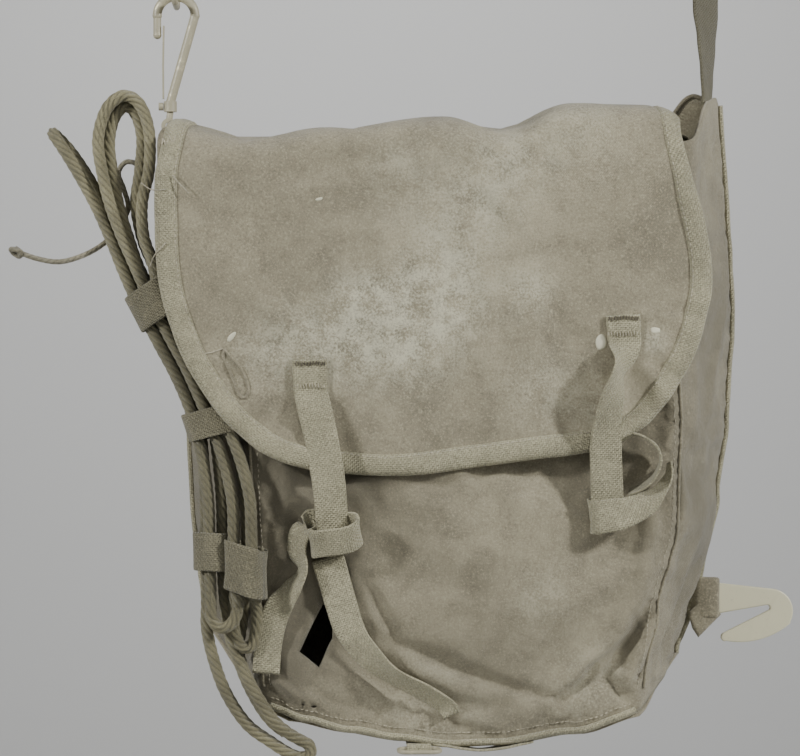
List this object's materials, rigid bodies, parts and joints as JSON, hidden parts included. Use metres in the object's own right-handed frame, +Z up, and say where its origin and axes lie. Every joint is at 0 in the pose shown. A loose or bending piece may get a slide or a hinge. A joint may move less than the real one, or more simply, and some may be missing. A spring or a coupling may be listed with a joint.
{
  "type": "rope storage bag",
  "caption": "Canvas satchel with a strapped front flap, a shoulder strap on a spring snap hook, a side hook, and a laid rope hank held in webbing keepers down its side.",
  "frame": {"origin": "on the underside of the shoulder strap's crest, where a peg or a shoulder carries the bag", "axes": "+Z up, -Y out of the flap side, +X to the right seen from the front"},
  "size_m": [0.5935, 0.1566, 0.8428],
  "materials": {
    "canvas": "worn khaki cotton canvas, plain weave, matte",
    "webbing": "herringbone cotton webbing, matte",
    "rope": "three-strand laid rope, matte",
    "cord": "braided cord, matte",
    "hardware_metal": "khaki-toned dull metal with worn edges",
    "cream_plastic": "cream, satin"
  },
  "bodies": {
    "bag": {"back_panel": "canvas", "front_panel": "canvas", "left_gusset": "canvas", "right_gusset": "canvas", "bottom_panel": "canvas", "mouth_hem": "canvas", "bottom_hem": "webbing", "left_seam_piping": "webbing", "right_seam_piping": "webbing", "corner_tab": "canvas", "corner_link": "hardware_metal", "shoulder_strap": "webbing", "strap_anchor": "webbing", "strap_end_ring": "hardware_metal", "snap_hook_body": "hardware_metal", "snap_rivet": "hardware_metal", "tie_tape_anchor": "webbing", "hank_keeper_upper": "webbing", "hank_keeper_middle": "webbing", "hank_keeper_lower_left": "webbing", "hank_keeper_lower_right": "webbing", "rope_hank": "rope", "rope_bight_front": "rope", "rope_bight_rear": "rope", "rope_bight_edge": "rope", "rope_bight_long": "rope", "rope_bight_small_left": "rope", "rope_bight_small_right": "rope", "thin_cord": "cord", "thin_cord_knot": "cord", "side_hook_stub": "webbing", "bottom_tab": "webbing", "bottom_loop": "webbing"},
    "flap": {"flap_canvas": "canvas", "flap_binding": "webbing", "strap_base_left": "webbing", "strap_base_right": "webbing"},
    "strap_left": {"flap_strap_left": "webbing", "strap_knot_left": "webbing", "strap_tail_left": "webbing"},
    "strap_right": {"flap_strap_right": "webbing", "strap_band_right": "webbing", "strap_loop_right": "webbing"},
    "tie_tape": {"tie_tape": "webbing"},
    "snap_gate": {"snap_gate": "hardware_metal"},
    "side_hook": {"side_hook": "cream_plastic", "side_hook_sleeve": "webbing", "side_hook_fold": "webbing"},
    "bottom_ring": {"bottom_ring": "hardware_metal"}
  },
  "joints": [
    {"name": "flap_hinge", "type": "hinge", "parent": "bag", "child": "flap", "pos_m": [0, -0.002, -0.3805], "axis": [-1, 0, 0], "range_deg": [0, 74]},
    {"name": "strap_left_swing", "type": "hinge", "parent": "flap", "child": "strap_left", "pos_m": [-0.106, -0.1207, -0.5735], "axis": [-1, 0, 0], "range_deg": [0, 75]},
    {"name": "strap_right_swing", "type": "hinge", "parent": "flap", "child": "strap_right", "pos_m": [0.123, -0.1207, -0.5405], "axis": [-1, 0, 0], "range_deg": [0, 75]},
    {"name": "tie_tape_swing", "type": "hinge", "parent": "bag", "child": "tie_tape", "pos_m": [0, -0.111, -0.81], "axis": [1, 0, 0], "range_deg": [0, 100]},
    {"name": "gate_spring", "type": "hinge", "parent": "bag", "child": "snap_gate", "pos_m": [-0.2174, 0.004, -0.349], "axis": [0, 1, 0], "range_deg": [0, 15], "stiffness_Nm_per_rad": 0.05, "springref_deg": -11.46},
    {"name": "side_hook_swing", "type": "hinge", "parent": "bag", "child": "side_hook", "pos_m": [0.1922, -0.009, -0.735], "axis": [0, 0, 1], "range_deg": [-85, 40]},
    {"name": "bottom_ring_swing", "type": "hinge", "parent": "bag", "child": "bottom_ring", "pos_m": [-0.026, -0.11, -0.834], "axis": [1, 0, 0], "range_deg": [0, 90]}
  ]
}
